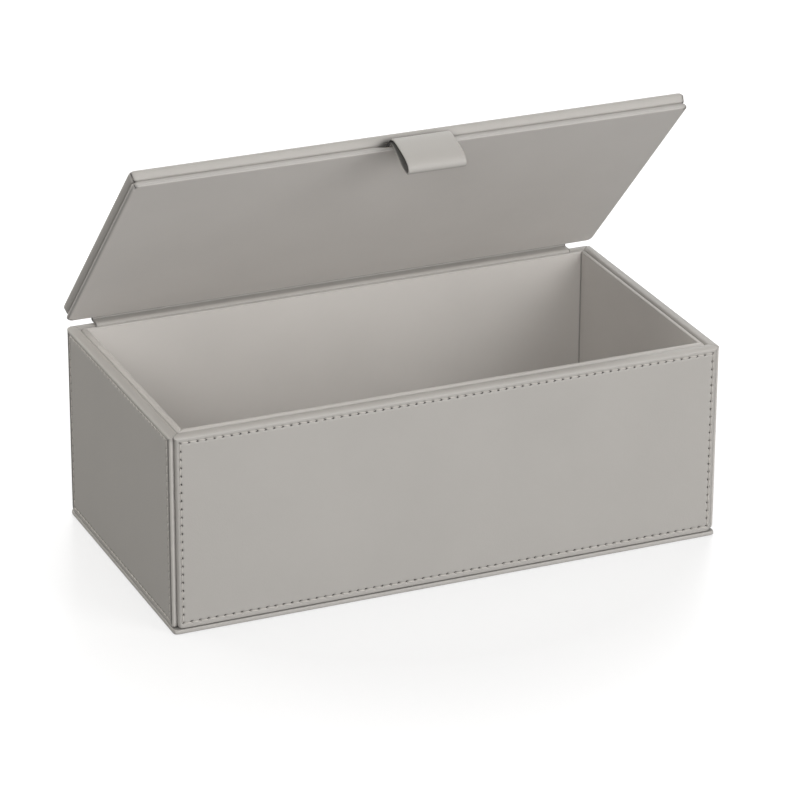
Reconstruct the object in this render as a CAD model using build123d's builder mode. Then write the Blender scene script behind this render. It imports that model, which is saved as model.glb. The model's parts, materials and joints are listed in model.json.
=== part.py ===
from build123d import *
from math import cos, hypot, radians, sin
import os

# A leather-covered stationery box. Every panel is a stiff board wrapped in leather, with the
# leather turned in over the hidden face. Each wall is two such panels back to back: a stitched
# outer panel and a thinner lining. The walls are mitred at the corners and stand on a thin base
# panel. The lid is two panels as well. A leather strip, glued between the two panels of the
# rear wall and between the two of the lid, is the hinge, and a folded strip at the lid's front
# edge is the pull tab. The lid is modelled standing half open.
#
# Millimetres. +X is right, +Y is the rear, +Z is up. The origin is the middle of the underside.

# ------------------------------------------------------------------ driving dimensions
# the box without its lid
box_width = 270.0
box_depth = 140.0
box_height = 96.0

# leather and boards
cover_leather = 1.0
cover_board = 3.5
lining_leather = 0.8
lining_board = 1.2
base_leather = 0.8
base_board = 0.5
turn_in = 12.0

# how the leather rounds over the edges; the rims of the outer panels are long soft rolls that
# fall away again into the groove beside the lining
rim_roll_drop = 1.4
rim_lip_round = 1.4
rim_crest_width = 0.1
cover_corner_round = 1.3
cover_back_round = 1.7
cover_foot_round = 0.6
lining_corner_round = 0.8
lining_edge_round = 0.6
lining_back_round = 2.0
lid_corner_round = 2.1
lid_edge_round = 2.0
lid_lining_corner_round = 1.6
lid_lining_back_round = 1.5
base_corner_round = 2.2
base_edge_round = 0.6
floor_corner_round = 1.0

# clearances
glue_line = 0.05
floor_clearance = 0.15
slot_clearance = 0.05
lid_clearance = 0.1

# hinge strip, and how far the lid stands open
lid_open_angle = 46.0
strip_leather = 0.9
strip_inset = 13.0
strip_tuck = 13.0
strip_rim_bend = 1.5
strip_bend = 1.0
strip_hinge_bend = 1.5

# pull tab: the loop hangs over the lid's front edge
tab_leather = 0.75
tab_width = 28.0
tab_tuck = 14.0
tab_neck_reach = 4.4
tab_neck_drop = 1.2
tab_neck_radius = 2.1
tab_bulb_reach = 9.4
tab_bulb_drop = 15.9
tab_bulb_radius = 4.2

# ------------------------------------------------------------------ derived sizes
cover_thickness = cover_board + 2 * cover_leather
lining_thickness = lining_board + 2 * lining_leather
wall_thickness = cover_thickness + lining_thickness
base_thickness = base_board + 2 * base_leather
rim_roll_width = cover_thickness - cover_back_round - rim_crest_width
lining_back_limit = lining_thickness - lining_edge_round - rim_crest_width
wall_height = box_height - base_thickness
inner_width = box_width - 2 * wall_thickness
inner_depth = box_depth - 2 * wall_thickness

# the hinge strip lies on the rear rim, and the closed lid lies on the strip
strip_width = box_width - 2 * strip_inset
strip_middle = box_height + slot_clearance + strip_leather / 2
lid_underside = box_height + slot_clearance + strip_leather + lid_clearance

# the lid turns about the strip where it enters the groove between the lid's two panels
hinge_y = box_depth / 2 + strip_leather / 2
hinge_z = lid_underside + lining_thickness

# each side's turn about Z from the front
sides = {"front": 0, "right": 90, "rear": 180, "left": 270}

os.makedirs("parts", exist_ok=True)


def save(part, name):
    """Label a finished piece and write its file."""
    part.label = name
    export_step(part, f"parts/{name}.step")


# ------------------------------------------------------------------ mitred wall panels
def wall_plan(side, inset, show_outward):
    """Plan of a wall panel, from the middle of its show face, with y towards its hidden face."""
    reach = (box_depth if side in ("front", "rear") else box_width) / 2 - inset
    towards_middle = Vector(0, 1, 0).rotate(Axis.Z, sides[side])
    hidden = towards_middle if show_outward else -towards_middle
    foot = towards_middle * -reach + Vector(0, 0, base_thickness)
    return Plane(origin=foot, x_dir=hidden.cross(Vector(0, 0, 1)), z_dir=(0, 0, 1))


def inset_plan(plan, depth):
    """The same plan moved up and away from the show face, as a board lies in its cover."""
    return Plane(origin=plan.origin + (plan.y_dir + plan.z_dir) * depth, x_dir=plan.x_dir, z_dir=plan.z_dir)


def inset_length(length, depth, mitre):
    """Length at a depth under the show face of what keeps that depth from the mitres too."""
    return length - 2 * depth * (mitre + hypot(1, mitre))


def mitred(length, thickness, mitre):
    """Plan corners of a mitred panel; mitre is 1 where the hidden face is shorter, -1 where longer."""
    show = length / 2
    hidden = show - mitre * thickness
    return [(-show, 0), (show, 0), (hidden, thickness), (-hidden, thickness)]


def wall_board(plan, length, leather, core, mitre):
    """The stiff board inside a wall panel's cover, with a line of glue all round it."""
    depth = leather + glue_line
    with BuildPart() as board:
        with BuildSketch(inset_plan(plan, depth)):
            Polygon(*mitred(inset_length(length, depth, mitre), core - 2 * glue_line, mitre), align=None)
        extrude(amount=wall_height - 2 * depth)
    return board.part


def outer_section():
    """Cross-section of an outer panel's cover; x runs from the show face to the hidden face."""
    lip = (0, wall_height - rim_roll_drop)
    crest = (rim_roll_width, wall_height)
    with BuildSketch() as outline:
        with BuildLine():
            Polyline(lip, (0, 0), (cover_thickness, 0), (cover_thickness, wall_height), crest)
            TangentArc(crest, lip, tangent=(-1, 0))
        make_face()
        fillet(outline.vertices().group_by(Axis.Y)[0], cover_foot_round)
        fillet(outline.vertices().group_by(Axis.X)[0].sort_by(Axis.Y)[-1], rim_lip_round)
        fillet(outline.vertices().group_by(Axis.Y)[-1].sort_by(Axis.X)[-1], cover_back_round)
    return outline.sketch


def lining_section():
    """Cross-section of a lining's cover; x runs from the show face to the hidden face."""
    with BuildSketch() as outline:
        Rectangle(lining_thickness, wall_height, align=Align.MIN)
        fillet(outline.vertices().group_by(Axis.Y)[0], lining_edge_round)
        fillet(outline.vertices().group_by(Axis.Y)[-1].sort_by(Axis.X)[0], lining_edge_round)
        groove_side = outline.vertices().group_by(Axis.Y)[-1].sort_by(Axis.X)[-1]
        fillet(groove_side, min(lining_back_round, lining_back_limit))
    return outline.sketch


def wall_cover(plan, length, leather, core, mitre, corner_round, section):
    """The leather of a wall panel: wrapped round its board and turned in over the hidden face."""
    thickness = core + 2 * leather
    with BuildPart() as cover:
        # the cross-section, carried along the wall and cut to the mitred plan
        with BuildSketch(Plane(origin=plan.origin, x_dir=plan.y_dir, z_dir=plan.x_dir)):
            add(section)
        extrude(amount=length, both=True)
        with BuildSketch(plan) as outline:
            Polygon(*mitred(length, thickness, mitre), align=None)
            fillet(outline.vertices(), corner_round)
        extrude(amount=wall_height, mode=Mode.INTERSECT)
        # the space that the board fills
        with BuildSketch(inset_plan(plan, leather)):
            Polygon(*mitred(inset_length(length, leather, mitre), core, mitre), align=None)
        extrude(amount=wall_height - 2 * leather, mode=Mode.SUBTRACT)
        # the bare middle of the hidden face, inside the turned-in leather
        hidden_middle = plan.origin + plan.y_dir * thickness + plan.z_dir * (wall_height / 2)
        hidden_length = length - 2 * mitre * thickness
        with BuildSketch(Plane(origin=hidden_middle, x_dir=plan.x_dir, z_dir=-plan.y_dir)):
            Rectangle(hidden_length - 2 * turn_in, wall_height - 2 * turn_in)
        extrude(amount=leather, mode=Mode.SUBTRACT)
    return cover.part


# ------------------------------------------------------------------ square-edged panels
def sheet_board(face, width, depth, leather, core):
    """The stiff board inside a square-edged panel's cover; the face's z points to the hidden face."""
    inset = 2 * (leather + glue_line)
    with BuildPart() as board:
        with BuildSketch(face.offset(leather + glue_line)):
            Rectangle(width - inset, depth - inset)
        extrude(amount=core - 2 * glue_line)
    return board.part


def sheet_cover(face, width, depth, leather, core, corner_round, show_round, back_round):
    """The leather of a square-edged panel: wrapped round its board and turned in behind it."""
    thickness = core + 2 * leather
    with BuildPart() as cover:
        with BuildSketch(face):
            RectangleRounded(width, depth, corner_round)
        extrude(amount=thickness)
        across = Axis(face.origin, face.z_dir)
        fillet(cover.faces().sort_by(across)[0].edges(), show_round)
        fillet(cover.faces().sort_by(across)[-1].edges(), back_round)
        # the space that the board fills
        with BuildSketch(face.offset(leather)):
            Rectangle(width - 2 * leather, depth - 2 * leather)
        extrude(amount=core, mode=Mode.SUBTRACT)
        # the bare middle of the hidden face, inside the turned-in leather
        with BuildSketch(face.offset(thickness - leather)):
            Rectangle(width - 2 * turn_in, depth - 2 * turn_in)
        extrude(amount=leather, mode=Mode.SUBTRACT)
    return cover.part


# ------------------------------------------------------------------ the lid's own frame
# z of this plane is the lid's up and y its rear, both as on the closed lid
lid_frame = Plane(
    origin=(0, hinge_y, hinge_z),
    x_dir=(1, 0, 0),
    z_dir=(0, sin(radians(lid_open_angle)), cos(radians(lid_open_angle))),
)


def lid_face(height, show_up):
    """A lid panel's show face, at its height on the closed lid, with z towards the hidden face."""
    middle = lid_frame.from_local_coords((0, -hinge_y, height - hinge_z))
    hidden = -lid_frame.z_dir if show_up else lid_frame.z_dir
    return Plane(origin=middle, x_dir=(1, 0, 0), z_dir=hidden)


def lid_section(x):
    """The lid's section plane at x: its x is the lid's front, its y the lid's underside."""
    return Plane(origin=lid_frame.from_local_coords((x, 0, 0)), x_dir=-lid_frame.y_dir, z_dir=(1, 0, 0))


# ------------------------------------------------------------------ hinge strip
def hinge_strip_solid(clearance):
    """The hinge strip, or with a clearance the slot it lies in; glued into the wall and the lid."""
    rear_groove = box_depth / 2 - cover_thickness
    lid_tuck = strip_tuck + strip_leather / 2
    thickness = strip_leather + 2 * clearance
    length = strip_width + 2 * clearance
    along_lid = lid_frame.y_dir * -lid_tuck
    section = Plane(origin=(-length / 2, 0, 0), x_dir=(0, 1, 0), z_dir=(1, 0, 0))
    with BuildPart() as strip:
        with BuildSketch(section):
            with BuildLine():
                FilletPolyline(
                    (rear_groove, box_height - strip_tuck - clearance),
                    (rear_groove, strip_middle),
                    (hinge_y, strip_middle),
                    (hinge_y, hinge_z),
                    (hinge_y + along_lid.Y, hinge_z + along_lid.Z),
                    radius=[strip_rim_bend, strip_bend, strip_hinge_bend],
                )
            trace(line_width=thickness)
        extrude(amount=length)
    return strip.part


# ------------------------------------------------------------------ pull tab
def pull_tab_solid(clearance):
    """The folded strip, or with a clearance the slot its ends are glued in."""
    front_edge = box_depth / 2 + hinge_y
    length = tab_width + 2 * clearance
    neck = (front_edge + tab_neck_reach, tab_neck_drop)
    bulb = (front_edge + tab_bulb_reach, tab_bulb_drop)
    tuck_length = tab_tuck + tab_neck_reach - tab_neck_radius + tab_leather
    tuck_middle = front_edge - tab_tuck + tuck_length / 2
    with BuildPart() as tab:
        with BuildSketch(lid_section(-length / 2)):
            # the teardrop that the folded leather makes
            with Locations(neck):
                Circle(tab_neck_radius)
            with Locations(bulb):
                Circle(tab_bulb_radius)
            make_hull()
            with Locations((tuck_middle, 0)):
                Rectangle(tuck_length + 2 * clearance, 2 * (tab_leather + clearance))
            # the open eye of the loop
            with BuildSketch(mode=Mode.SUBTRACT):
                with Locations(neck):
                    Circle(tab_neck_radius - tab_leather)
                with Locations(bulb):
                    Circle(tab_bulb_radius - tab_leather)
                make_hull()
        extrude(amount=length)
    return tab.part


# ------------------------------------------------------------------ walls
hinge_slot = hinge_strip_solid(slot_clearance)

for side in sides:
    side_length = box_width if side in ("front", "rear") else box_depth
    lining_length = side_length - 2 * wall_thickness
    outer_plan = wall_plan(side, 0, show_outward=True)
    lining_plan = wall_plan(side, wall_thickness, show_outward=False)
    pieces = {
        "outer_board": wall_board(outer_plan, side_length, cover_leather, cover_board, 1),
        "outer_cover": wall_cover(
            outer_plan, side_length, cover_leather, cover_board, 1,
            cover_corner_round, outer_section(),
        ),
        "lining_board": wall_board(lining_plan, lining_length, lining_leather, lining_board, -1),
        "lining_cover": wall_cover(
            lining_plan, lining_length, lining_leather, lining_board, -1,
            lining_corner_round, lining_section(),
        ),
    }
    for piece, solid in pieces.items():
        with BuildPart() as panel:
            add(solid)
            if side == "rear":
                add(hinge_slot, mode=Mode.SUBTRACT)
        save(panel.part, f"{side}_{piece}")

# ------------------------------------------------------------------ base and floor lining
underside = Plane.XY
with BuildPart() as base_panel_board:
    add(sheet_board(underside, box_width, box_depth, base_leather, base_board))
save(base_panel_board.part, "base_board")
with BuildPart() as base_cover:
    add(
        sheet_cover(
            underside, box_width, box_depth, base_leather, base_board,
            base_corner_round, base_edge_round, base_edge_round,
        )
    )
save(base_cover.part, "base_cover")

floor_width = inner_width - 2 * floor_clearance
floor_depth = inner_depth - 2 * floor_clearance
floor_top = Plane(origin=(0, 0, base_thickness + lining_thickness), x_dir=(1, 0, 0), z_dir=(0, 0, -1))
with BuildPart() as floor_board:
    add(sheet_board(floor_top, floor_width, floor_depth, lining_leather, lining_board))
save(floor_board.part, "floor_lining_board")
with BuildPart() as floor_cover:
    add(
        sheet_cover(
            floor_top, floor_width, floor_depth, lining_leather, lining_board,
            floor_corner_round, lining_edge_round, lining_edge_round,
        )
    )
save(floor_cover.part, "floor_lining_cover")

# ------------------------------------------------------------------ lid
tab_slot = pull_tab_solid(slot_clearance)

lid_top = lid_face(hinge_z + cover_thickness, show_up=True)
with BuildPart() as lid_outer_board:
    add(sheet_board(lid_top, box_width, box_depth, cover_leather, cover_board))
    add(hinge_slot, mode=Mode.SUBTRACT)
    add(tab_slot, mode=Mode.SUBTRACT)
save(lid_outer_board.part, "lid_outer_board")
with BuildPart() as lid_outer_cover:
    add(
        sheet_cover(
            lid_top, box_width, box_depth, cover_leather, cover_board,
            lid_corner_round, lid_edge_round, lid_edge_round,
        )
    )
    add(hinge_slot, mode=Mode.SUBTRACT)
    add(tab_slot, mode=Mode.SUBTRACT)
save(lid_outer_cover.part, "lid_outer_cover")

lid_inside = lid_face(lid_underside, show_up=False)
with BuildPart() as lid_lining_board:
    add(sheet_board(lid_inside, box_width, box_depth, lining_leather, lining_board))
    add(hinge_slot, mode=Mode.SUBTRACT)
    add(tab_slot, mode=Mode.SUBTRACT)
save(lid_lining_board.part, "lid_lining_board")
with BuildPart() as lid_lining_cover:
    add(
        sheet_cover(
            lid_inside, box_width, box_depth, lining_leather, lining_board,
            lid_lining_corner_round, lining_edge_round, lid_lining_back_round,
        )
    )
    add(hinge_slot, mode=Mode.SUBTRACT)
    add(tab_slot, mode=Mode.SUBTRACT)
save(lid_lining_cover.part, "lid_lining_cover")

# ------------------------------------------------------------------ leather strips
with BuildPart() as hinge_strip:
    add(hinge_strip_solid(0))
save(hinge_strip.part, "hinge_strip")

with BuildPart() as pull_tab:
    add(pull_tab_solid(0))
save(pull_tab.part, "pull_tab")
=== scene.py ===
# %% [markdown]
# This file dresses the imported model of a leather-covered stationery box. The boards inside it
# are plain, but the leather that wraps them is soft: it rolls over the edges, sinks along the
# stitching and puckers at every needle hole. Those shapes are worked out here with numpy.

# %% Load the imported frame
import json
import math

import bpy
import numpy as np
from mathutils import Matrix, Vector


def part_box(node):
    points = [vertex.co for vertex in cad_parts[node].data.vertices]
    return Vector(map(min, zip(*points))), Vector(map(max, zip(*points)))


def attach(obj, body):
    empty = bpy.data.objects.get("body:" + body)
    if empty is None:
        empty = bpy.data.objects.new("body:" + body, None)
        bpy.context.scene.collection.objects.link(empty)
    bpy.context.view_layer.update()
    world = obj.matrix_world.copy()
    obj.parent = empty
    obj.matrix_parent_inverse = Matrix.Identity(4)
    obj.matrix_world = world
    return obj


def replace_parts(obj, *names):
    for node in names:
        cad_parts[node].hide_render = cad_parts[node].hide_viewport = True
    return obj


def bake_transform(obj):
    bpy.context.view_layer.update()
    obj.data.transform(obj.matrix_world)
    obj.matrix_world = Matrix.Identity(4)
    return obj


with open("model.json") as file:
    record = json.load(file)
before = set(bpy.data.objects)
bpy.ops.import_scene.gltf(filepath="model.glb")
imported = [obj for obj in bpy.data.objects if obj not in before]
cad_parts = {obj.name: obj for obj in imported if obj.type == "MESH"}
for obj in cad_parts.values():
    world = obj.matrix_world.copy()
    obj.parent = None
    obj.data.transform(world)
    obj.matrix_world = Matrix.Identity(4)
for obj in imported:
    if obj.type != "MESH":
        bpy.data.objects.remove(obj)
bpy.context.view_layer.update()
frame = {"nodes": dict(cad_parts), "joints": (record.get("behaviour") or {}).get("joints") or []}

# %% [markdown]
# Every size comes from the CAD nodes, so that the leather lands where the boards are. The lid
# is easiest to think about closed and level, and is then turned about its hinge to where it
# stands: half open.

# %% Sizes read from the frame
MM = 0.001


def node_box(name):
    """The lowest and the highest corner of a CAD node, as arrays."""
    low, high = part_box(name)
    return np.array(low), np.array(high)


base_low, base_high = node_box("base_cover")
front_low, front_high = node_box("front_outer_cover")
lining_low, lining_high = node_box("front_lining_cover")
floor_low, floor_high = node_box("floor_lining_cover")
strip_low, strip_high = node_box("hinge_strip")
tab_low, tab_high = node_box("pull_tab")

box_width = base_high[0] - base_low[0]
box_depth = base_high[1] - base_low[1]
base_thickness = base_high[2]
box_height = front_high[2]
wall_height = box_height - base_thickness
cover_thickness = front_high[1] - front_low[1]
lining_thickness = lining_high[1] - lining_low[1]
wall_thickness = cover_thickness + lining_thickness

lid_open = math.radians(46.0)
hinge_at = np.array(frame["joints"][0]["pos_m"])
strip_width = strip_high[0] - strip_low[0]
tab_width = tab_high[0] - tab_low[0]
print(f"box {box_width / MM:.1f} x {box_depth / MM:.1f} x {box_height / MM:.1f} mm")
print(f"outer panels {cover_thickness / MM:.2f} mm, linings {lining_thickness / MM:.2f} mm")

# %% [markdown]
# The camera stands to the left of the front and looks down on the box through a long lens,
# so that upright edges stay almost upright. It could be aimed with a tracking constraint, but
# here its three axes are worked out from two angles, which leaves its roll free to be set.

# %% Camera
camera_azimuth = math.radians(-23.45)
camera_elevation = math.radians(23.54)
camera_roll = math.radians(0.27)
camera_distance = 1.957
camera_lens = 186.9
sensor_width = 36.0
clip_distance = 50
aim_right = 0.0039
aim_up = 0.0583

view_back = np.array([
    math.sin(camera_azimuth) * math.cos(camera_elevation),
    -math.cos(camera_azimuth) * math.cos(camera_elevation),
    math.sin(camera_elevation),
])
view_right = np.array([math.cos(camera_azimuth), math.sin(camera_azimuth), 0.0])
view_up = np.cross(view_back, view_right)
aim = aim_right * view_right + aim_up * view_up

camera_data = bpy.data.cameras.new("camera")
camera_data.lens = camera_lens
camera_data.sensor_width = sensor_width
camera_data.clip_end = clip_distance
camera = bpy.data.objects.new("camera", camera_data)
bpy.context.scene.collection.objects.link(camera)
bpy.context.scene.camera = camera
axes = Matrix((view_right, view_up, view_back)).transposed()
camera.matrix_world = (
    Matrix.Translation(Vector(aim + camera_distance * view_back))
    @ axes.to_4x4()
    @ Matrix.Rotation(camera_roll, 4, "Z")
)
print("camera at", [round(v, 3) for v in camera.matrix_world.translation])

# %% [markdown]
# The light of a product studio: broad lamps on rings round the box. Four stand on the
# camera's side and light the front and the inside, two behind give the rims their shine, and
# one hangs over the left. The left one behind and the one over the left are slightly warm.
# A picture of a sky could light the box too, but lamps can be balanced one by one.

# %% Lamps
scene = bpy.context.scene
scene.view_settings.view_transform = "Standard"


def soft_lamp(name, place, target, size, power, tint):
    """A square area lamp at place, turned to face target; sizes in metres, power in watts."""
    data = bpy.data.lights.new(name, "AREA")
    data.shape = "SQUARE"
    data.size = size
    data.energy = power
    data.color = tint
    lamp = bpy.data.objects.new(name, data)
    lamp.location = place
    lamp.rotation_euler = (Vector(target) - Vector(place)).to_track_quat("-Z", "Y").to_euler()
    scene.collection.objects.link(lamp)


lamp_size = 1.2
lamp_target = (0, 0, 0.08)
# each ring is a radius and a height, in metres
low_ring, middle_ring = (2.377, 0.55), (2.377, 0.75)
high_ring, top_ring = (1.966, 1.477), (1.2, 2.158)
warm, plain = (1.0, 0.975, 0.92), (1.0, 1.0, 1.0)
lamps = [
    ("right_front_lamp", 35, low_ring, 20.0, plain),
    ("front_lamp", 0, low_ring, 12.5, plain),
    ("high_left_front_lamp", -35, high_ring, 22.0, plain),
    ("high_right_front_lamp", 35, high_ring, 16.5, plain),
    ("high_right_rear_lamp", 150, high_ring, 15.0, plain),
    ("left_rear_lamp", -150, middle_ring, 15.5, warm),
    ("left_top_lamp", -100, top_ring, 15.5, warm),
]
for lamp_name, azimuth, (ring_radius, ring_height), power, tint in lamps:
    turn = math.radians(azimuth)
    place = (ring_radius * math.sin(turn), -ring_radius * math.cos(turn), ring_height)
    soft_lamp(lamp_name, place, lamp_target, lamp_size, power, tint)
print(len(lamps), "lamps,", sum(lamp[3] for lamp in lamps), "W in all")

# %% [markdown]
# The room is white wherever the camera or a reflection meets it, and gives no light itself:
# the strength of its background is 1 for those two kinds of ray and 0 for all others. White
# walls could do it as well, but they would throw the lamps' light back at the box.

# %% Room
white = (1.0, 1.0, 1.0, 1)
world = bpy.data.worlds.new("studio")
scene.world = world
world.use_nodes = True
room = world.node_tree
room.nodes.clear()
room_output = room.nodes.new("ShaderNodeOutputWorld")
room_white = room.nodes.new("ShaderNodeBackground")
room_white.inputs["Color"].default_value = white
room_ray = room.nodes.new("ShaderNodeLightPath")
room_seen = room.nodes.new("ShaderNodeMath")
room_seen.operation = "MAXIMUM"
room.links.new(room_ray.outputs["Is Camera Ray"], room_seen.inputs[0])
room.links.new(room_ray.outputs["Is Glossy Ray"], room_seen.inputs[1])
room.links.new(room_seen.outputs[0], room_white.inputs["Strength"])
room.links.new(room_white.outputs[0], room_output.inputs["Surface"])
print("room of", len(room.nodes), "nodes")

# %% [markdown]
# The floor is a wide sheet a hair under the box. White paint would throw more light up at the
# box than is wanted, so its paint is grey, and it glows for the camera alone, which makes it
# look white and still leaves the box its shadow. The glow is weaker close to the box, which
# paints a soft shadow round it.

# %% Floor
floor_reach = 12.0
floor_drop = -0.0002
floor_grey = 0.25
floor_roughness = 0.4
floor_shine = 0.3
# a weaker glow near the box paints a soft shadow on the floor
glow_near, glow_far = 0.685, 0.84
near_distance, far_distance = 0.14, 0.26

floor_mesh = bpy.data.meshes.new("floor")
floor_mesh.from_pydata(
    [(-floor_reach, -floor_reach, floor_drop), (floor_reach, -floor_reach, floor_drop),
     (floor_reach, floor_reach, floor_drop), (-floor_reach, floor_reach, floor_drop)],
    [], [(0, 1, 2, 3)],
)
floor = bpy.data.objects.new("floor", floor_mesh)
scene.collection.objects.link(floor)
floor_paint = bpy.data.materials.new("floor_paint")
floor_paint.use_nodes = True
floor_shader = floor_paint.node_tree.nodes["Principled BSDF"]
floor_shader.inputs["Base Color"].default_value = (floor_grey, floor_grey, floor_grey, 1)
floor_shader.inputs["Roughness"].default_value = floor_roughness
floor_shader.inputs["Specular IOR Level"].default_value = floor_shine
floor_shader.inputs["Emission Color"].default_value = white
paint_node, paint_link = floor_paint.node_tree.nodes.new, floor_paint.node_tree.links.new
floor_ray = paint_node("ShaderNodeLightPath")
floor_where = paint_node("ShaderNodeTexCoord")
floor_distance = paint_node("ShaderNodeVectorMath")
floor_distance.operation = "LENGTH"
floor_fade = paint_node("ShaderNodeMapRange")
floor_fade.inputs["From Min"].default_value = near_distance
floor_fade.inputs["From Max"].default_value = far_distance
floor_fade.inputs["To Min"].default_value = glow_near
floor_fade.inputs["To Max"].default_value = glow_far
floor_glow = paint_node("ShaderNodeMath")
floor_glow.operation = "MULTIPLY"
paint_link(floor_where.outputs["Object"], floor_distance.inputs[0])
paint_link(floor_distance.outputs["Value"], floor_fade.inputs["Value"])
paint_link(floor_fade.outputs["Result"], floor_glow.inputs[0])
paint_link(floor_ray.outputs["Is Camera Ray"], floor_glow.inputs[1])
paint_link(floor_glow.outputs[0], floor_shader.inputs["Emission Strength"])
floor.data.materials.append(floor_paint)
print("floor", 2 * floor_reach, "m wide")

# %% [markdown]
# Smooth calf leather has a grain too fine to see from across a desk, but it breaks up the
# shine and mottles the colour a little. One node group holds that: it gives out a height for
# the bump and a mask for the colour, and each leather gives it a colour, a roughness and a
# depth. A picture of leather could do the same, but would need unwrapping and would repeat.

# %% Leather grain group
pebbles_per_metre = 1600
patches_per_metre = 22
pebble_softness = 0.6
crease_scale = 0.35
crease_share = 0.6
crease_detail, patch_detail = 3, 4
patch_roughness = 0.55


def grain_group():
    """Fine pebbles and creases, and slow cloudy patches of tone. The height is the distance
    in a layer of cells plus crease_share times a noise at crease_scale of the cells' scale."""
    group = bpy.data.node_groups.new("leather_grain", "ShaderNodeTree")
    scales = {"Pebble Scale": pebbles_per_metre, "Patch Scale": patches_per_metre}
    for socket, scale in scales.items():
        made = group.interface.new_socket(socket, in_out="INPUT", socket_type="NodeSocketFloat")
        made.default_value = scale
    for socket in ("Height", "Patches"):
        group.interface.new_socket(socket, in_out="OUTPUT", socket_type="NodeSocketFloat")
    put, link = group.nodes.new, group.links.new
    inside, outside = put("NodeGroupInput"), put("NodeGroupOutput")
    where = put("ShaderNodeTexCoord")
    pebbles = put("ShaderNodeTexVoronoi")
    pebbles.feature = "SMOOTH_F1"
    pebbles.inputs["Smoothness"].default_value = pebble_softness
    creases = put("ShaderNodeTexNoise")
    creases.inputs["Detail"].default_value = crease_detail
    patches = put("ShaderNodeTexNoise")
    patches.inputs["Detail"].default_value = patch_detail
    patches.inputs["Roughness"].default_value = patch_roughness
    for texture in (pebbles, creases, patches):
        link(where.outputs["Object"], texture.inputs["Vector"])
    link(inside.outputs["Pebble Scale"], pebbles.inputs["Scale"])
    coarser = put("ShaderNodeMath")
    coarser.operation = "MULTIPLY"
    coarser.inputs[1].default_value = crease_scale
    link(inside.outputs["Pebble Scale"], coarser.inputs[0])
    link(coarser.outputs[0], creases.inputs["Scale"])
    link(inside.outputs["Patch Scale"], patches.inputs["Scale"])
    together = put("ShaderNodeMath")
    together.operation = "MULTIPLY_ADD"
    together.inputs[1].default_value = crease_share
    link(creases.outputs["Fac"], together.inputs[0])
    link(pebbles.outputs["Distance"], together.inputs[2])
    link(together.outputs[0], outside.inputs["Height"])
    link(patches.outputs["Fac"], outside.inputs["Patches"])
    return group


grain = grain_group()
print("grain group of", len(grain.nodes), "nodes")

# %% [markdown]
# Each leather is a satin shader. The grain group mottles its colour and its roughness and
# gives its bump. The meshes of the panels and the strips also carry a number at each point,
# called shade, which says how much painted shade darkens the leather there: 1 in a needle
# hole, less in a groove, a crease, a gap or a fold, 0 on plain leather, and a little below 0
# where a painted highlight makes an edge paler. A painted texture could hold it, but a number
# at each point follows every hole by itself.

# %% Leather materials
# the colour at a shade of 1, as a share of the leather's own: it gives every painted shade, in
# grooves, gaps and folds as well as in needle holes
painted_shade_tone = 0.05
patch_strength = 0.05
roughness_spread = 0.04
bump_strength = 0.5
sheen_weight, sheen_roughness = 0.08, 0.5
leather_ior, leather_shine = 1.45, 0.38


def scaled(colour, share):
    """A colour with its channels times a share, as a shader takes it."""
    return (*(channel * share for channel in colour), 1)


def leather(name, colour, roughness, grain_height):
    """A satin leather with its bump: its colour is mottled by the grain group's patches, and each
    point's shade mixes it with a near-black copy of itself, painting shade; a shade below 0
    paints a paler highlight."""
    material = bpy.data.materials.new(name)
    material.use_nodes = True
    tree = material.node_tree
    put, link = tree.nodes.new, tree.links.new
    shader = tree.nodes["Principled BSDF"]
    shader.inputs["IOR"].default_value = leather_ior
    shader.inputs["Specular IOR Level"].default_value = leather_shine
    shader.inputs["Sheen Weight"].default_value = sheen_weight
    shader.inputs["Sheen Roughness"].default_value = sheen_roughness
    pattern = put("ShaderNodeGroup")
    pattern.node_tree = grain
    tone = put("ShaderNodeMix")
    tone.data_type = "RGBA"
    tone.inputs["A"].default_value = scaled(colour, 1 - patch_strength)
    tone.inputs["B"].default_value = scaled(colour, 1 + patch_strength)
    link(pattern.outputs["Patches"], tone.inputs["Factor"])
    point_shade = put("ShaderNodeAttribute")
    point_shade.attribute_name = "shade"
    shaded = put("ShaderNodeMix")
    shaded.data_type = "RGBA"
    shaded.clamp_factor = False
    shaded.inputs["B"].default_value = scaled(colour, painted_shade_tone)
    link(point_shade.outputs["Fac"], shaded.inputs["Factor"])
    link(tone.outputs["Result"], shaded.inputs["A"])
    link(shaded.outputs["Result"], shader.inputs["Base Color"])
    shine = put("ShaderNodeMapRange")
    shine.inputs["To Min"].default_value = roughness - roughness_spread
    shine.inputs["To Max"].default_value = roughness + roughness_spread
    link(pattern.outputs["Patches"], shine.inputs["Value"])
    link(shine.outputs["Result"], shader.inputs["Roughness"])
    bump = put("ShaderNodeBump")
    bump.inputs["Distance"].default_value = grain_height
    bump.inputs["Strength"].default_value = bump_strength
    link(pattern.outputs["Height"], bump.inputs["Height"])
    link(bump.outputs["Normal"], shader.inputs["Normal"])
    return material


outer_leather = leather("outer_leather", (0.407, 0.389, 0.366), 0.5, 0.00006)
# the linings are the same leather as the covers, painted lighter: painted light for the inside of
# the box and the lid's underside, which lie in shade; the lid's lining is painted lighter still
lining_leather = leather("lining_leather", (0.567, 0.542, 0.514), 0.55, 0.00005)
lid_lining_leather = leather("lid_lining_leather", (0.607, 0.58, 0.551), 0.55, 0.00005)
strip_leather = leather("strip_leather", (0.402, 0.385, 0.362), 0.5, 0.00006)
thread_fibre = leather("thread_fibre", (0.52, 0.495, 0.46), 0.6, 0.00004)
board_paper = leather("board_paper", (0.36, 0.33, 0.28), 0.85, 0.00008)
print(len(bpy.data.materials), "materials in the file")

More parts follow.
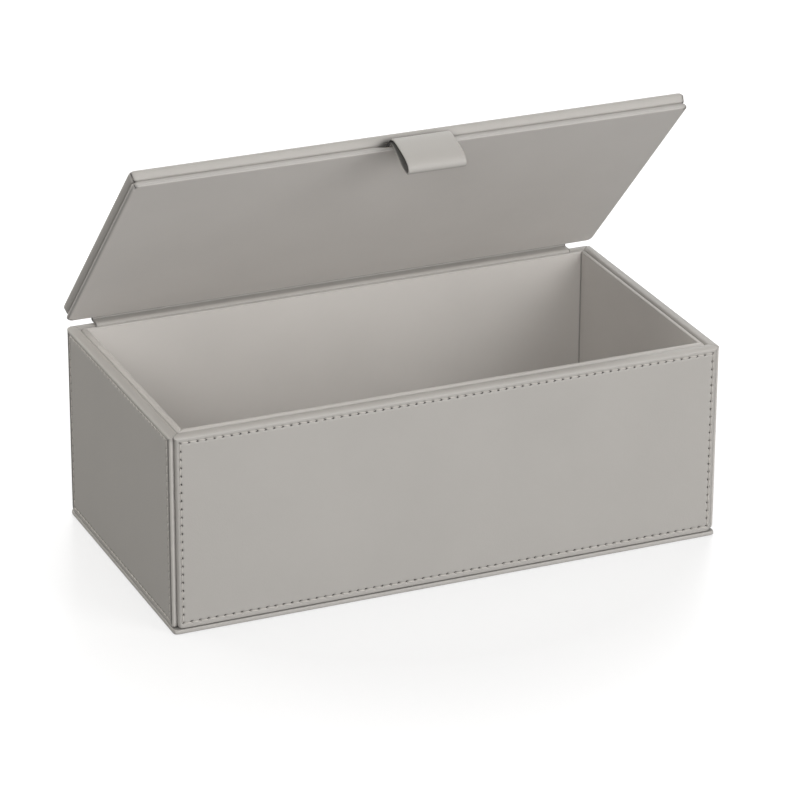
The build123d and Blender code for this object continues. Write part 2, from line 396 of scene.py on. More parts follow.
# %% [markdown]
# A wrapped panel is a stack of rounded rectangles. On the way from the show face to the
# hidden face each side keeps its own outline: softly rolled along the rim, slanted at 45
# degrees along a mitre. Seen as a grid, one direction goes round the panel and the other goes
# from the middle of the show face, over the edge, to the middle of the hidden face. Panels
# are worked out in millimetres: a runs along the panel, b up it, and d down from the show
# face. A bevel on a slab would be quicker, but it rounds all edges alike.

# %% Outline of a side
pleat_spread = 0.7
least_offset = 1e-6
least_length = 1e-9


def corner_depth(slope, radius):
    """How deep a corner arc goes before it meets a side that leans in by slope."""
    return radius * (1 + slope / math.hypot(1, slope))


def corner_reach(depth, edge, slope, radius):
    """Reach of the arc that touches both the face at depth 0 and the side edge - slope * depth.
    It is centred one radius deep, and slope * r + r * sqrt(1 + slope^2) inside the edge."""
    centre = edge - slope * radius - radius * math.hypot(1, slope)
    return centre + np.sqrt(np.maximum(radius**2 - (depth - radius) ** 2, 0))


def side_reach(depth, edge, thickness, slope, show_round, hidden_round):
    """How far a side reaches at each depth: a slanting line with an arc at either face. A
    show_round of two numbers, width and drop, is a roll: a quarter of an ellipse."""
    reach = edge - slope * depth
    if isinstance(show_round, tuple):
        width, drop = show_round
        left = 1 - np.minimum(depth / width, 1)
        reach = reach - drop * (1 - np.sqrt(np.maximum(1 - left**2, 0)))
    else:
        arc = corner_reach(depth, edge, slope, show_round)
        reach = np.where(depth < corner_depth(slope, show_round), arc, reach)
    back = thickness - depth
    arc = corner_reach(back, edge - slope * thickness, -slope, hidden_round)
    return np.where(back < corner_depth(-slope, hidden_round), arc, reach)


def rounded(a, b, low_a, high_a, low_b, high_b, radius, pleat):
    """Moves the points of a rectangle's outline in to its rounded corners: each point is set
    at the radius from the nearest point of the rectangle shrunk by the radius. A pleat of
    some depth is folded in where the diagonal meets the corner, as exp(-(distance from the
    diagonal / pleat_spread)^2). Also returns the fold."""
    near_a = np.clip(a, low_a + radius, high_a - radius)
    near_b = np.clip(b, low_b + radius, high_b - radius)
    away_a, away_b = a - near_a, b - near_b
    length = np.maximum(np.hypot(away_a, away_b), least_length)
    in_corner = (np.abs(away_a) > least_offset) & (np.abs(away_b) > least_offset)
    off_diagonal = (np.abs(away_a) - np.abs(away_b)) / pleat_spread
    fold = np.exp(-(off_diagonal**2)) * in_corner * (pleat > 0)
    reach = (radius - pleat * fold) / length
    return near_a + away_a * reach, near_b + away_b * reach, fold


print(f"a 1.5 mm round meets a 45 degree side {corner_depth(1, 1.5):.2f} mm deep")

# %% [markdown]
# A grid needn't be even: its columns and rows crowd where the leather bends. Meshes are then
# made from whole arrays of points, because a loop over every point is slow in Python.

# %% Columns, rows and meshes
edge_rows, hidden_edge_rows = 13, 8
weld_distance = 1e-7


def around(across, up, cluster):
    """Outline of a rectangle from -1 to 1, anticlockwise from its lower left. Each side is
    divided into stitches, and each stitch into the cluster's fractions."""
    def side(stitches):
        """The steps along one side, from -1 to just before 1."""
        steps = (np.arange(stitches)[:, None] + np.array(cluster)[None, :]).ravel()
        return steps / stitches * 2 - 1
    wide, tall = side(across), side(up)
    ones_wide, ones_tall = np.ones_like(wide), np.ones_like(tall)
    x = np.concatenate([wide, ones_tall, -wide, -ones_tall])
    y = np.concatenate([-ones_wide, tall, ones_wide, -tall])
    return x, y


def edge_depths(thickness, show_span, hidden_span):
    """Depths down an edge, crowded towards both faces: span * (1 - cos(angle))."""
    angles = np.linspace(0, math.pi / 2, edge_rows)
    from_show = show_span * (1 - np.cos(angles))
    from_hidden = thickness - hidden_span * (1 - np.cos(angles[:hidden_edge_rows]))
    return np.unique(np.round(np.concatenate([from_show, from_hidden]), 6))


def add_shade(mesh, shades):
    """Give each point of a mesh its shade, the number that the leathers read."""
    mark = mesh.attributes.new("shade", "FLOAT", "POINT")
    mark.data.foreach_set("value", shades.astype(np.float32))


def add_piece(name, mesh, material, body):
    """Put a mesh in the scene as a smooth piece that rides on a body, if one is named."""
    mesh.polygons.foreach_set("use_smooth", np.ones(len(mesh.polygons), bool))
    mesh.materials.append(material)
    piece = bpy.data.objects.new(name, mesh)
    scene.collection.objects.link(piece)
    if body:
        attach(piece, body)
    return piece


def closed_mesh(name, points):
    """A mesh from a grid of points, rows by columns, that closes round its columns. Its first
    and last rows are folded onto a line and welded there, and its faces are turned so that
    the volume they enclose is positive. Also returns which of the points were kept."""
    rows, columns = points.shape[:2]
    flat = points.reshape(-1, 3)
    index = np.arange(rows * columns).reshape(rows, columns)
    right = np.roll(index, -1, axis=1)
    quads = np.stack([index[:-1], right[:-1], right[1:], index[1:]], axis=-1).reshape(-1, 4)
    corners = flat[quads] - flat[0]
    first_half = np.cross(corners[:, 1], corners[:, 2])
    second_half = np.cross(corners[:, 2], corners[:, 3])
    if np.einsum("ij,ij->", corners[:, 0], first_half + second_half) < 0:
        quads = quads[:, ::-1]
    ends = np.concatenate([index[0], index[-1]])
    keys = np.round(flat[ends] / weld_distance).astype(np.int64)
    _, first, same = np.unique(keys, axis=0, return_index=True, return_inverse=True)
    welded = np.arange(len(flat))
    welded[ends] = ends[first][same.ravel()]
    kept, renumbered = np.unique(welded[quads], return_inverse=True)
    faces = [tuple(dict.fromkeys(face)) for face in renumbered.reshape(-1, 4).tolist()]
    mesh = bpy.data.meshes.new(name)
    mesh.from_pydata(flat[kept].tolist(), [], [face for face in faces if len(face) > 2])
    return mesh, kept


def standing(origin, along, up, into):
    """A function that takes millimetres a, b, d of a panel to the frame's metres."""
    axes = np.array([along, up, into], dtype=float)
    return lambda points: np.array(origin) + MM * (points @ axes)


print("depths down an edge 1 mm thick:", np.round(edge_depths(1.0, 0.5, 0.5), 2))

# %% [markdown]
# Stitching pulls the leather down. Along the seam there is a narrow channel, at each needle
# hole a small deep crater, and on both sides of the seam the leather swells a little. The
# channel and the crater are bell curves, exp(-(distance / spread)^2), and the swelling fades
# as exp(-distance / swell_reach). A bump map could hint at all this, but only real hollows
# take real shadows. A seam is given by its half length and its b at the foot and at the rim.

# %% Seam
seam_edge_inset = 3.2
channel_depth = 0.08
channel_spread = 0.6
crater_depth = 0.9
crater_spread = 0.5
# radius of the painted shade in a needle hole
hole_radius = 0.58
hole_stretch = 1.2
# how much smaller the painted shade of the holes is in the lower and the right-hand row
low_right_hole_shrink = 0.16
hole_softness = 0.2
swelling = 0.03
swell_reach = 3
stitch_cluster = (0.025, 0.07, 0.13, 0.25, 0.5, 0.75, 0.87, 0.93, 0.975)
plain_cluster = (0.01, 0.03, 0.06, 0.2, 0.5, 0.8, 0.94, 0.97, 0.99)


def seam_holes(half, low, high, across, up):
    """Needle holes in order round a seam, anticlockwise from its lower left: columns a and b."""
    wide = np.arange(across) / across * 2 - 1
    tall = np.arange(up) / up * (high - low)
    a = np.concatenate([wide * half, np.full(up, half), -wide * half, np.full(up, -half)])
    b = np.concatenate([np.full(across, low), low + tall, np.full(across, high), high - tall])
    return np.stack([a, b], axis=1)


def seam_dip(a, b, half, low, high, across, up):
    """Depth of the leather under the face near a seam, and the painted shade of its needle
    holes. The edge of that shade fades over hole_softness, and it is painted smaller round the
    holes of the lower and the right-hand row."""
    middle, tall = (low + high) / 2, (high - low) / 2
    out_a, out_b = np.abs(a) - half, np.abs(b - middle) - tall
    outside = np.hypot(np.maximum(out_a, 0), np.maximum(out_b, 0))
    off_seam = np.where(np.maximum(out_a, out_b) > 0, outside, -np.maximum(out_a, out_b))
    pitch_a, pitch_b = 2 * half / across, 2 * tall / up
    hole_a = np.clip(np.round((a + half) / pitch_a), 0, across) * pitch_a - half
    hole_b = np.clip(np.round((b - low) / pitch_b), 0, up) * pitch_b + low
    on_flat = np.hypot((a - hole_a) / hole_stretch, np.abs(b - middle) - tall)
    on_upright = np.hypot(b - hole_b, np.abs(a) - half)
    off_hole = np.minimum(on_flat, on_upright)
    crater = np.exp(-((off_hole / crater_spread) ** 2))
    channel = np.exp(-((off_seam / channel_spread) ** 2))
    swell = np.exp(-off_seam / swell_reach) * (1 - channel)
    # the holes' painted shade is made smaller in the lower and the right-hand row
    covered = low_right_hole_shrink * ((b < low + seam_edge_inset) | (a > half - seam_edge_inset))
    hole = np.clip((hole_radius - covered - off_hole) / hole_softness + 0.5, 0, 1)
    return channel_depth * channel + crater_depth * crater - swelling * swell, hole


print("a seam dips", channel_depth + crater_depth, "mm at a needle hole")

# %% [markdown]
# The rows of a panel's grid are its outlines. Where a panel is stitched, its rows crowd
# towards the seam, and its columns crowd towards each needle hole.

# %% Section and outlines of a panel
# steps are millimetres inside the seam, shares are parts of the way from the seam to the edge
stitched_steps = (0.1, 0.25, 0.42, 0.65, 1.0, 1.5, 2.4, 4.0, 7.0, 14.0)
stitched_shares = (0.06, 0.15, 0.26, 0.4, 0.58, 0.78)
plain_steps, plain_shares = (0.5, 2.0, 8.0), ()
hidden_step = 3.0
show_share = 0.8
slit_deep, slit_fade = 3.5, 1.0


def panel_section(size, slope, rounds, slit):
    """Depths down a panel's edge and, at each, the reach of its ends, its foot and its rim.
    Near the show face, down to slit_deep, the foot is lifted by slit."""
    length, height, thickness = size
    show_spans = [
        show[0] if isinstance(show, tuple) else corner_depth(abs(slope), show)
        for show, _ in rounds.values()
    ]
    hidden_spans = [corner_depth(abs(slope), hidden) for _, hidden in rounds.values()]
    show_span = min(max(show_spans), thickness * show_share)
    depths = edge_depths(thickness, show_span, max(hidden_spans))
    reach = side_reach(depths, length / 2, thickness, slope, *rounds["ends"])
    foot = -side_reach(depths, 0, thickness, 0, *rounds["foot"])
    foot += slit * np.clip((slit_deep - depths) / slit_fade, 0, 1)
    top = side_reach(depths, height, thickness, 0, *rounds["rim"])
    return depths, reach, foot, top


def panel_outlines(seam, section, thickness, steps, shares):
    """The outlines from the middle of the show face, over the edge, to the middle of the
    hidden face: half length, foot, rim, depth, and how much of the corners' rounding each
    has. Also returns how many of them lie on the show face."""
    depths, reach, foot, top = section
    middle = min(seam[0], (seam[2] - seam[1]) / 2)
    outlines = [
        (seam[0] - step, seam[1] + step, seam[2] - step, 0, 0)
        for step in (middle, *steps[::-1], 0)
    ]
    for share in shares:
        edge = zip(seam, (reach[0], foot[0], top[0]))
        grown = [inner + (outer - inner) * share for inner, outer in edge]
        outlines.append((*grown, 0, share**2))
    face_rows = len(outlines)
    outlines += [(r, f, t, d, 1) for r, f, t, d in zip(reach, foot, top, depths)]
    middle = min(reach[-1], (top[-1] - foot[-1]) / 2)
    for step in (hidden_step, middle):
        outlines.append((reach[-1] - step, foot[-1] + step, top[-1] - step, thickness, 0))
    return outlines, face_rows


print("rows from the middle of a stitched face to its edge:",
      len(stitched_steps) + 2 + len(stitched_shares))

# %% [markdown]
# Where panels meet, hardly any light gets in: down the mitres, in the groove between a cover
# and its lining, and in the lining's corners. It could be left to the light alone, but that
# leaves the joints a little too pale, so they are shaded as well.

# %% Shade of the joints
groove_shade = 0.1
rim_groove_shade = 0.1
# painted shade on a lining's rim, against the linings' painted lighter colour
lining_rim_shade = 0.14
lining_corner_shade = 0.4
# parts of the rounds at which the grooves start to darken, and over which they do
mitre_groove_from = 0.85
rim_groove_from, rim_groove_fade = 0.5, 0.6


def joint_shade(depth, thickness, rounds, at_end, at_rim):
    """Shade of a mitred panel at a depth, growing evenly with it: over its ends from
    mitre_groove_from of their show round, over its rim close to the hidden face."""
    start, rim_start = rounds["ends"][0] * mitre_groove_from, rounds["rim"][1] * rim_groove_from
    in_mitre = np.clip((depth - start) / start, 0, 1) * at_end
    in_rim = (depth - thickness + rim_start) / (rim_start * rim_groove_fade)
    in_rim = np.clip(in_rim, 0, 1) * at_rim
    return np.maximum(groove_shade * in_mitre, rim_groove_shade * in_rim)


print("joints are shaded by", groove_shade, "to", lining_corner_shade)

# %% [markdown]
# One function makes the leather of every panel from its outlines. Each could be modelled by
# hand, but twelve panels are easier to keep alike by numbers. The rounded ends of a cover with
# pressed lines beside them get a painted highlight, which makes them paler.

# %% Wrapped panel
plain_margin = 0.3
plain_spacing, plain_least = 10, 4
slit_shade_from, slit_shade_rise = 0.5, 0.3
slit_shade = 0.25
crease_shade = 0.7
painted_edge_highlight = 0.3
mitre_close_round = 0.4
# how far under the rim the mitres close and the pressed lines fade out
mitre_close_span = 2.5
outermost = 0.9999


def wrapped_panel(name, place, size, slope, rounds, plan_rounds, stitches=None,
                  end_inset=0.0, pleat=0.0, slit=0.0, crease=0.0, reshape=None):
    """Mesh of the leather round one panel, and its seam. size is its length, height and
    thickness; slope is that of its two ends; rounds gives the show and hidden rounds of ends,
    rim and foot; plan_rounds is how its corners at the foot and the rim are rounded; stitches
    counts the stitches along and up its seam; end_inset is how far its seam stays from its
    ends; pleat is how deep its corners are folded in; slit is how far its foot is lifted near
    the show face; crease is how deep a line is pressed beside its ends; and reshape moves the
    finished points and shades them. Towards the rim the round of a mitred end tightens, and
    closes the mitre."""
    length, height, thickness = size
    section = panel_section(size, slope, rounds, slit)
    _, reach, foot, top = section
    if stitches:
        seam = (length / 2 - end_inset, seam_edge_inset, height - seam_edge_inset)
        x, y = around(*stitches, stitch_cluster)
        crowding = (stitched_steps, stitched_shares)
    else:
        seam = (reach[0] - plain_margin, foot[0] + plain_margin, top[0] - plain_margin)
        cells = [max(round(span / plain_spacing), plain_least) for span in (length, height)]
        x, y = around(*cells, plain_cluster)
        crowding = (plain_steps, plain_shares)
    outlines, face_rows = panel_outlines(seam, section, thickness, *crowding)
    plan_round = np.where(y < 0, *plan_rounds)
    at_end, at_rim, at_foot = np.abs(x) > outermost, y > outermost, y < -outermost
    end_show, end_hidden = rounds["ends"]

    grid = np.zeros((len(outlines), len(x), 3))
    shades = np.zeros(grid.shape[:2])
    for row, (half, low, high, depth, edge_part) in enumerate(outlines):
        a, b = x * half, (low + high) / 2 + y * (high - low) / 2
        dip, shade = 0.0, shades[row]
        # the fold that rounded() returns is painted shade in the pleat's crease
        if edge_part > 0:
            limits, corner = (-half, half, low, high), plan_round * edge_part
            a, b, shade = rounded(a, b, *limits, corner, pleat * edge_part)
        below_rim = np.clip((height - b) / mitre_close_span, 0, 1)
        beside_end = at_end * below_rim
        if edge_part > 0 and slope > 0:
            closing = (length / 2, thickness, slope, mitre_close_round, end_hidden)
            tight = side_reach(np.array([depth]), *closing)
            close = (1 - below_rim) ** 2 * edge_part
            a *= 1 + close * (tight / half - 1)
        if stitches and row < face_rows:
            # the needle holes' dip and their painted shade
            dip, holes = seam_dip(a, b, *seam, *stitches)
            shade = np.maximum(shade, holes)
        # a line pressed beside the ends, with painted shade in it
        if crease and face_rows - 2 <= row <= face_rows:
            dip = dip + crease * beside_end
            shade = np.maximum(shade, crease_shade * beside_end)
        if slope != 0:
            shade = np.maximum(shade, joint_shade(depth, thickness, rounds, at_end, at_rim))
        # painted shade on a lining's rim, which takes back part of the linings' painted lighter
        # colour where the rim faces the lamps, and painted shade in its corners
        if slope < 0 and edge_part == 1:
            lining = np.maximum(lining_rim_shade * at_rim, lining_corner_shade * beside_end)
            shade = np.maximum(shade, lining)
        # painted shade in the slit between the lifted foot and the base
        if slit and slit_shade_from < depth < slit_deep:
            shade = np.where(at_foot | (b < slit + slit_shade_rise), slit_shade, shade)
        # a painted highlight that makes the rounded ends beside a pressed line paler
        if crease and face_rows < row and depth < end_show:
            shade = shade - painted_edge_highlight * beside_end
        grid[row, :, 0], grid[row, :, 1], grid[row, :, 2] = a, b, depth + dip
        shades[row] = shade
    if reshape:
        grid, reshaped = reshape(grid)
        shades = np.maximum(shades, reshaped)
    mesh, kept = closed_mesh(name, place(grid))
    add_shade(mesh, shades.ravel()[kept])
    return mesh, seam


print("columns to a stitch:", len(stitch_cluster))

# %% [markdown]
# The thread shows as one short float between two needle holes, pressed nearly halfway into
# the channel, with both ends diving into the holes. Each float is a small tube. Curves with
# a round profile could make them too, but one mesh for a whole seam keeps the scene small.

# %% Thread
thread_radius = 0.22
thread_lift = 0.04
thread_dive = 0.6
thread_slant = 0.12
thread_shift = 0.22
thread_sides = 8
# along a float: parts of its length, and there its depth and its part of the radius
float_steps = (0.0, 0.05, 0.14, 0.3, 0.7, 0.86, 0.95, 1.0)
float_depths = (thread_dive, 0.3, 0.08, 0.0, 0.0, 0.08, 0.3, thread_dive)
float_widths = (0.7, 0.9, 1.0, 1.05, 1.05, 1.0, 0.9, 0.7)


def thread_floats(name, place, seam, stitches):
    """One mesh of all the thread floats along a seam. The middle of each lies thread_lift over
    the face and thread_shift aside of the holes; it slants by thread_slant * (1 - 2 * step)."""
    holes = seam_holes(*seam, *stitches)
    along = np.roll(holes, -1, axis=0) - holes
    length = np.hypot(along[:, 0], along[:, 1])
    forward = along / length[:, None]
    aside = np.stack([-forward[:, 1], forward[:, 0]], axis=1)
    steps = np.array(float_steps)
    deep = np.array(float_depths) - thread_lift
    width = thread_radius * np.array(float_widths)
    turns = np.arange(thread_sides) / thread_sides * 2 * math.pi
    slant = thread_slant * (1 - 2 * steps) - thread_shift
    centre = holes[:, None, :] + along[:, None, :] * steps[:, None]
    centre = centre + aside[:, None, :] * slant[:, None]
    centre_depth = np.broadcast_to(deep[None, :, None], (*centre.shape[:2], 1))
    centre = np.concatenate([centre, centre_depth], axis=2)
    sideways = np.concatenate([aside, np.zeros((len(holes), 1))], axis=1)
    ring = sideways[:, None, None, :] * np.cos(turns)[None, None, :, None]
    ring = ring + np.array([0, 0, 1.0]) * np.sin(turns)[None, None, :, None]
    points = centre[:, :, None, :] + ring * width[None, :, None, None]
    count, rings, sides = points.shape[:3]
    index = np.arange(count * rings * sides).reshape(count, rings, sides)
    right = np.roll(index, -1, axis=2)
    corners = [index[:, :-1], right[:, :-1], right[:, 1:], index[:, 1:]]
    quads = np.stack(corners, axis=-1).reshape(-1, 4)
    caps = [*index[:, 0, ::-1].tolist(), *index[:, -1].tolist()]
    mesh = bpy.data.meshes.new(name)
    mesh.from_pydata(place(points.reshape(-1, 3)).tolist(), [], [*quads.tolist(), *caps])
    return mesh


print(len(float_steps), "rings of", thread_sides, "points to a float of thread")

# %% [markdown]
# Four walls, each an outer panel and a lining, back to back, mitred where they meet. Every
# wall is made looking at it from outside, and turned to its side of the box. Copies of one
# wall would be quicker, but the long walls and the short ones differ in their ends.

# %% Walls
rim_roll = (3.7, 1.5)
box_w, box_d = box_width / MM, box_depth / MM
wall_h = wall_height / MM
cover_t, lining_t = cover_thickness / MM, lining_thickness / MM
side_turns = {"front": 0, "right": 90, "rear": 180, "left": 270}
end_rounds = {"front": 1.5, "right": 1.3, "rear": 1.5, "left": 1.3}
end_insets = {"front": 4.4, "right": 6.0, "rear": 4.4, "left": 6.0}
long_stitches, short_stitches, tall_stitches = 65, 33, 22
cover_end_back = 0.5
cover_rounds = {"rim": (rim_roll, 1.7), "foot": (0.6, 0.6)}
lining_rounds = {"ends": (0.8, 0.4), "rim": (0.6, 2.0), "foot": (0.6, 0.6)}
cover_plan, lining_plan = (1.8, 0.6), (0.8, 0.8)
base_slit = 0.5
short_wall_crease = 0.3


def turned(vector, degrees):
    """A vector turned about the upright axis."""
    return np.array(Matrix.Rotation(math.radians(degrees), 3, "Z") @ Vector(vector))


for side, degrees in side_turns.items():
    is_long = side in ("front", "rear")
    length, reach = (box_w, box_depth / 2) if is_long else (box_d, box_width / 2)
    stitches = (long_stitches if is_long else short_stitches, tall_stitches)
    along, inward = turned((1, 0, 0), degrees), turned((0, 1, 0), degrees)
    upright = (0, 0, 1)
    foot = np.array([0, 0, base_thickness])
    outside = standing(foot - inward * reach, along, upright, inward)
    rounds = {"ends": (end_rounds[side], cover_end_back), **cover_rounds}
    mesh, seam = wrapped_panel(
        f"{side}_cover_leather", outside, (length, wall_h, cover_t), 1, rounds, cover_plan,
        stitches, end_inset=end_insets[side], slit=base_slit,
        crease=0.0 if is_long else short_wall_crease,
    )
    cover = add_piece(mesh.name, mesh, outer_leather, "box")
    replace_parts(cover, f"{side}_outer_cover")
    mesh = thread_floats(f"{side}_seam_thread", outside, seam, stitches)
    add_piece(mesh.name, mesh, thread_fibre, "box")
    inside = standing(foot - inward * (reach - wall_thickness), along, upright, -inward)
    shown = (length - 2 * wall_thickness / MM, wall_h, lining_t)
    mesh, _ = wrapped_panel(
        f"{side}_lining_leather", inside, shown, -1, lining_rounds, lining_plan
    )
    lining = add_piece(mesh.name, mesh, lining_leather, "box")
    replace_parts(lining, f"{side}_lining_cover")
    print(side, "cover", len(cover.data.polygons), "faces, lining", len(lining.data.polygons))

# %% [markdown]
# The base and the floor lining are plain square-edged panels that lie flat: the walls stand
# on the base, and the floor lining lies on it inside. The same function makes them, with no
# seam, because their leather is wrapped in the same way.

# %% Base and floor
face_margin = 0.02
base_plan, floor_plan = (1.8, 1.8), (1.0, 1.0)


def same_rounds(show, hidden):
    """The same two rounds for the ends, the rim and the foot of a panel."""
    return {edge: (show, hidden) for edge in ("ends", "rim", "foot")}


def shaded_top(grid):
    """Painted shade on the base's upper face, which lies in the dark under the walls."""
    return grid, slit_shade * (grid[..., 2] > base_t - face_margin)


plain_rounds = same_rounds(0.6, 0.6)
base_t = base_thickness / MM
base_place = standing((0, -box_depth / 2, 0), (1, 0, 0), (0, 1, 0), (0, 0, 1))
mesh, _ = wrapped_panel(
    "base_leather", base_place, (box_w, box_d, base_t), 0, plain_rounds, base_plan,
    reshape=shaded_top,
)
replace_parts(add_piece(mesh.name, mesh, outer_leather, "box"), "base_cover")
print("base", len(mesh.polygons), "faces")

floor_size = (floor_high - floor_low) / MM
floor_place = standing((0, floor_low[1], floor_high[2]), (1, 0, 0), (0, 1, 0), (0, 0, -1))
mesh, _ = wrapped_panel("floor_leather", floor_place, floor_size, 0, plain_rounds, floor_plan)
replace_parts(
    add_piece(mesh.name, mesh, lining_leather, "box"), "floor_lining_cover"
)
print("floor lining", len(mesh.polygons), "faces")

# %% [markdown]
# The lid is two panels back to back, and only the upper one is stitched. Both are made as if
# the lid were level, in a frame that is turned about the hinge. The pull tab comes out of
# the groove between them and holds it open a little: beside the tab their hidden faces stand
# apart, and close again as exp(-(distance / gape_span)^2) along the edge. The panels could
# be left closed on the tab, but real leather gives way to it.

# %% Lid
groove_gape = 1.3
gape_span = 3.5
gape_depth = 5.0
gape_shade = 0.9
# parts of the thickness at which the gape starts to darken, and over which it does
gape_shade_from, gape_shade_fade = 0.6, 0.3
# the same for the lid lining's edge, in millimetres
edge_shade_from, edge_shade_fade = 0.1, 0.4
# painted shade on the lid lining's edge, which takes back part of its painted lighter colour where
# the edge faces the lamps
lining_edge_shade = 0.36
cover_pleat, lining_pleat = 0.5, 0.4
lid_end_inset = 4.4
lid_plan, lid_lining_plan = (1.8, 3.0), (1.8, 2.6)


def gaping(thickness, edge_shade=0.0):
    """A reshaping that lifts a lid panel's hidden face at its front edge beside the tab, by
    groove_gape at most, and paints shade into the gape and, by edge_shade, onto the panel's
    edges."""
    def reshape(grid):
        """The lifted grid, and its shade."""
        a, b, d = grid[..., 0], grid[..., 1], grid[..., 2]
        beside = np.maximum(np.abs(a) - tab_width / MM / 2, 0)
        near_edge = np.clip(1 - b / gape_depth, 0, 1)
        gape = groove_gape * np.exp(-((beside / gape_span) ** 2)) * near_edge
        moved = d - gape * np.clip(d / thickness, 0, 1) ** 2
        in_gape = np.clip((d / thickness - gape_shade_from) / gape_shade_fade, 0, 1)
        on_edge = np.clip((d - edge_shade_from) / edge_shade_fade, 0, 1)
        shade = np.maximum(gape_shade * gape / groove_gape * in_gape, edge_shade * on_edge)
        return np.stack([a, b, moved], axis=-1), shade
    return reshape


lid_rear = np.array([0, math.cos(lid_open), -math.sin(lid_open)])
lid_up = np.array([0, math.sin(lid_open), math.cos(lid_open)])
hinge_over_rear = hinge_at[1] - box_depth / 2
lid_front_edge = hinge_at - lid_rear * (box_depth + hinge_over_rear)

lid_top = standing(lid_front_edge + lid_up * cover_thickness, (1, 0, 0), lid_rear, -lid_up)
lid_stitches = (long_stitches, short_stitches)
mesh, seam = wrapped_panel(
    "lid_cover_leather", lid_top, (box_w, box_d, cover_t), 0, same_rounds(2.0, 2.0), lid_plan,
    lid_stitches, end_inset=lid_end_inset, pleat=cover_pleat, reshape=gaping(cover_t),
)
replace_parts(add_piece(mesh.name, mesh, outer_leather, "lid"), "lid_outer_cover")
print("lid cover", len(mesh.polygons), "faces")
mesh = thread_floats("lid_seam_thread", lid_top, seam, lid_stitches)
add_piece(mesh.name, mesh, thread_fibre, "lid")

lid_under = standing(lid_front_edge - lid_up * lining_thickness, (1, 0, 0), lid_rear, lid_up)
mesh, _ = wrapped_panel(
    "lid_lining_leather", lid_under, (box_w, box_d, lining_t), 0, same_rounds(1.2, 1.5),
    lid_lining_plan, pleat=lining_pleat, reshape=gaping(lining_t, lining_edge_shade),
)
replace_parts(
    add_piece(mesh.name, mesh, lid_lining_leather, "lid"), "lid_lining_cover"
)
print("lid lining", len(mesh.polygons), "faces")

# %% [markdown]
# The two leather strips are ribbons along a path in the section plane of the box: the hinge
# strip runs over straight stretches joined by round bends, and the pull tab follows a smooth
# spline, because folded leather never makes a true circle. A curve object could carry a
# profile as well, but on a mesh the two sides of the leather can be shaded apart.

# %% Ribbons
arc_points = 9
round_points, flat_points = 5, 9
cut_edge_share = 0.51


def turned_in_section(vector, angle):
    """A vector of the section plane turned by an angle."""
    turn = [[math.cos(angle), -math.sin(angle)], [math.sin(angle), math.cos(angle)]]
    return np.array(turn) @ vector


def bent_path(points, radii):
    """A path along straight runs, with each inner corner rounded by a tangent arc: the arc
    starts radius * tan(turn / 2) before the corner."""
    points = [np.array(point, dtype=float) for point in points]
    path = [points[0]]
    for before, corner, after, radius in zip(points, points[1:], points[2:], radii):
        arriving = (corner - before) / np.linalg.norm(corner - before)
        leaving = (after - corner) / np.linalg.norm(after - corner)
        side = arriving[0] * leaving[1] - arriving[1] * leaving[0]
        turn = math.acos(np.clip(arriving @ leaving, -1, 1)) * np.sign(side)
        start = corner - arriving * radius * math.tan(abs(turn) / 2)
        left = np.array([-arriving[1], arriving[0]]) * np.sign(side)
        centre = start + left * radius
        for angle in np.linspace(0, turn, arc_points):
            path.append(centre - turned_in_section(left, angle) * radius)
    path.append(points[-1])
    return np.array(path)


def smooth_path(controls, per_span=8):
    """A uniform cubic B-spline: each span blends four control points with the weights
    (1-t)^3, 3t^3-6t^2+4, -3t^3+3t^2+3t+1 and t^3, all over 6. A further point at either end
    makes the path start and finish on the first and the last one."""
    controls = np.array(controls, dtype=float)
    before, beyond = 2 * controls[:1] - controls[1:2], 2 * controls[-1:] - controls[-2:-1]
    controls = np.concatenate([before, controls, beyond])
    t = np.arange(per_span)[:, None] / per_span
    second, third = 3 * t**3 - 6 * t**2 + 4, -3 * t**3 + 3 * t**2 + 3 * t + 1
    weights = np.concatenate([(1 - t) ** 3, second, third, t**3], axis=1)
    spans = [weights @ controls[start:start + 4] / 6 for start in range(len(controls) - 3)]
    return np.concatenate([*spans, controls[-2:-1]])


def ribbon(name, place, path, width, thickness, inside_tone, edge_tone):
    """Mesh of a leather strip, width wide, along a path in its section plane, with its two
    cut edges rounded: near an edge the half thickness falls as the cosine of an angle. The
    side of the leather on the left of the path is darker by inside_tone, and the cut edges by
    edge_tone, a painted shade which may change along the path."""
    forward = np.gradient(path, axis=0)
    forward /= np.linalg.norm(forward, axis=1)[:, None]
    across = np.stack([-forward[:, 1], forward[:, 0]], axis=1)
    angles = np.linspace(math.pi / 2, 0, round_points)
    edge = width / 2 - thickness / 2 * (1 - np.sin(angles))
    flat = np.linspace(-width / 2 + thickness, width / 2 - thickness, flat_points)
    stations = np.concatenate([-edge, flat, edge[::-1]])
    profile = np.concatenate([np.cos(angles), np.ones(flat_points), np.cos(angles[::-1])])
    rows, tones = [], []
    for station, half in zip(stations, thickness / 2 * profile):
        loop = np.concatenate([path + across * half, path[::-1] - across[::-1] * half])
        rows.append(np.column_stack([np.full(len(loop), station), loop]))
        is_edge = abs(station) > width / 2 - thickness * cut_edge_share
        at_edge = edge_tone * np.full(len(path), is_edge)
        inside = np.maximum(at_edge, inside_tone * half / thickness * 2)
        tones.append(np.concatenate([inside, at_edge[::-1]]))
    mesh, kept = closed_mesh(name, place(np.array(rows)))
    add_shade(mesh, np.array(tones).ravel()[kept])
    return mesh


print("stations across a ribbon:", 2 * round_points + flat_points)

# %% [markdown]
# The hinge strip comes up between the rear wall's two panels, turns back over the rim, and
# goes in between the lid's panels. It has no pin: the leather itself bends. So it rides on
# neither body.

# %% Hinge strip
strip_thickness = 0.9
strip_tuck = 13.0
strip_clearance = 0.05
strip_bends = (1.5, 1.0, 1.5)
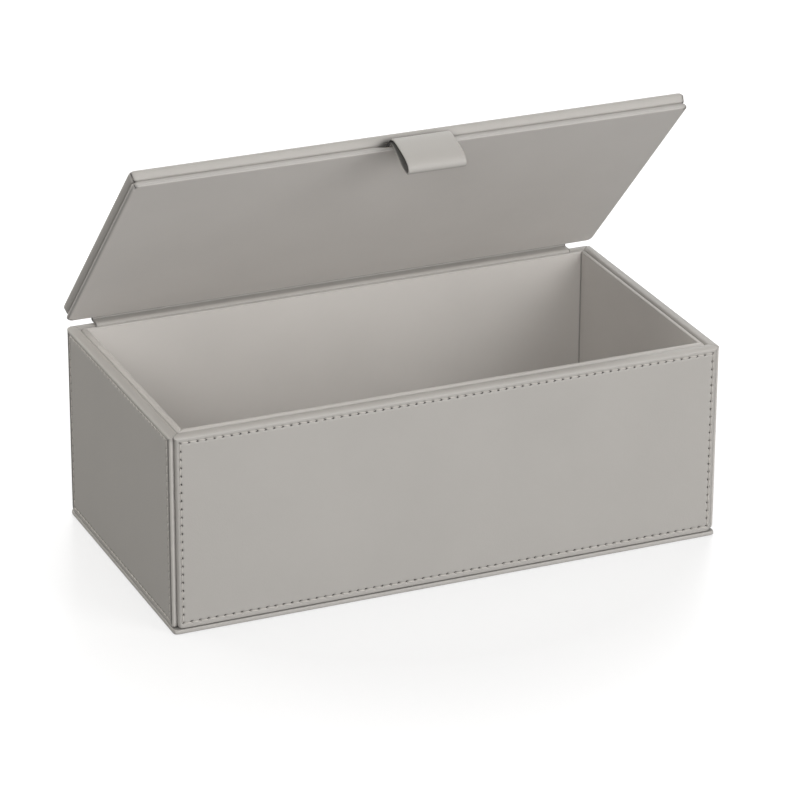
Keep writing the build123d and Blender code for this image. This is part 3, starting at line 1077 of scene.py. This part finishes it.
# the strip's cut edges get painted shade
strip_inside_tone, strip_edge_tone = 0.0, 0.6
rear_groove = box_d / 2 - cover_t
rim_top = box_height / MM
strip_level = rim_top + strip_clearance + strip_thickness / 2
hinge_y, hinge_z = hinge_at[1] / MM, hinge_at[2] / MM
into_lid = -lid_rear * (strip_tuck + strip_thickness / 2)
strip_route = [
    (rear_groove, rim_top - strip_tuck),
    (rear_groove, strip_level),
    (hinge_y, strip_level),
    (hinge_y, hinge_z),
    (hinge_y + into_lid[1], hinge_z + into_lid[2]),
]
upright_section = standing((0, 0, 0), (1, 0, 0), (0, 1, 0), (0, 0, 1))
mesh = ribbon(
    "hinge_leather", upright_section, bent_path(strip_route, strip_bends), strip_width / MM,
    strip_thickness, strip_inside_tone, strip_edge_tone,
)
strip = add_piece(mesh.name, mesh, strip_leather, None)
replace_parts(strip, "hinge_strip")
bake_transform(strip)
print("hinge strip", len(mesh.polygons), "faces")

# %% [markdown]
# The pull tab is a strip folded back on itself. Both ends are glued in the groove between
# the lid's two panels, and the fold hangs in front of the lid as a fat drop. Its spline is
# given by points in front of the lid's edge and under the groove, in millimetres.

# %% Pull tab
tab_thickness = 0.75
tab_inside_tone = 0.75
neck_shade, neck_end, neck_fade = 0.85, 5.5, 1.5
tab_controls = [
    (-14, -0.38), (0, -0.38), (4.2, -0.5), (7.2, 1.4), (10.2, 7.2),
    (13.0, 13.0), (14.2, 18.2), (12.2, 21.2), (9.0, 19.6), (7.2, 14.2),
    (6.1, 8.4), (4.8, 3.4), (3.0, 0.5), (0, 0.38), (-14, 0.38),
]
lid_section = standing(lid_front_edge, (1, 0, 0), -lid_rear, -lid_up)
tab_path = smooth_path(tab_controls)
# painted shade on the cut edges of the tab's neck
neck_tone = neck_shade * np.clip((neck_end - tab_path[:, 0]) / neck_fade, 0, 1)
mesh = ribbon(
    "tab_leather", lid_section, tab_path, tab_width / MM, tab_thickness, tab_inside_tone, neck_tone
)
tab = add_piece(mesh.name, mesh, strip_leather, "lid")
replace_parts(tab, "pull_tab")
print("pull tab", len(mesh.polygons), "faces")

# %% [markdown]
# The boards inside the leather are plain slabs. New shapes would add nothing to them, so they
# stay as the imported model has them, and only get a finish of paper.

# %% Boards
boards = [name for name in frame["nodes"] if name.endswith("_board")]
for name in boards:
    board = bpy.data.objects[name]
    board.data.materials.clear()
    board.data.materials.append(board_paper)
print(len(boards), "boards")
